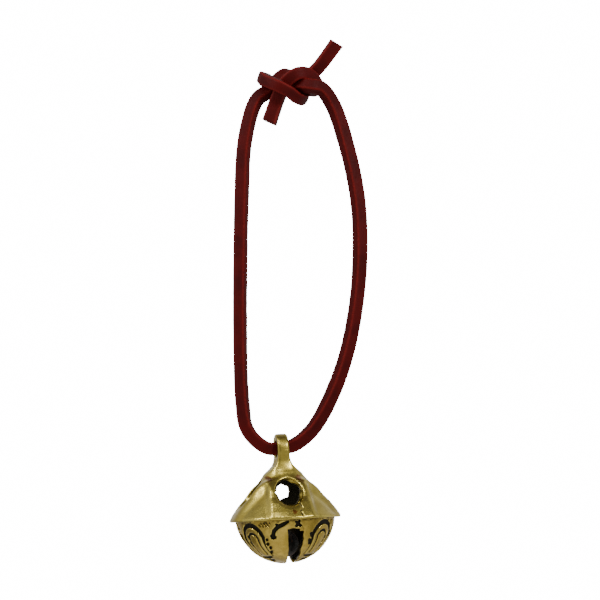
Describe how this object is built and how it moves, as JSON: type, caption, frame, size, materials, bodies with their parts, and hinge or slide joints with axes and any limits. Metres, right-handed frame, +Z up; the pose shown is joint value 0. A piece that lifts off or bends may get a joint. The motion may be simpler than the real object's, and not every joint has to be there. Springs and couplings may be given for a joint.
{
  "type": "sleigh bell",
  "caption": "Round brass crotal bell with pierced collars and crossed slots, a loose iron pellet inside, hanging by its eye on a knotted leather lace.",
  "frame": {"origin": "where a hook or nail bears, at the inside top of the lace's loop below the knot", "axes": "+Z up, +X to the right and -Y to the front: the loop hangs in the XZ plane, with the bell at its foot"},
  "size_m": [0.0485, 0.0388, 0.1894],
  "materials": {
    "dome_brass": "satin, aged casting",
    "bowl_brass": "satin, aged casting with dark recesses",
    "pellet_iron": "rough, oxidised",
    "lace_leather": "matt, cut edges"
  },
  "bodies": {
    "lace": {"lace": "lace_leather"},
    "bell": {"dome": "dome_brass", "bowl": "bowl_brass"},
    "pellet": {"pellet": "pellet_iron"}
  },
  "joints": [
    {"name": "bell_swing", "type": "hinge", "parent": "lace", "child": "bell", "pos_m": [-0.0096, 0, -0.1285], "axis": [0.9833, 0.1734, 0.055], "range_deg": [-90, 90]},
    {"name": "pellet_roll", "type": "hinge", "parent": "bell", "child": "pellet", "pos_m": [-0.00833, 0, -0.15126], "axis": [0.9848, 0.1736, 0], "range_deg": [-75, 75]}
  ]
}
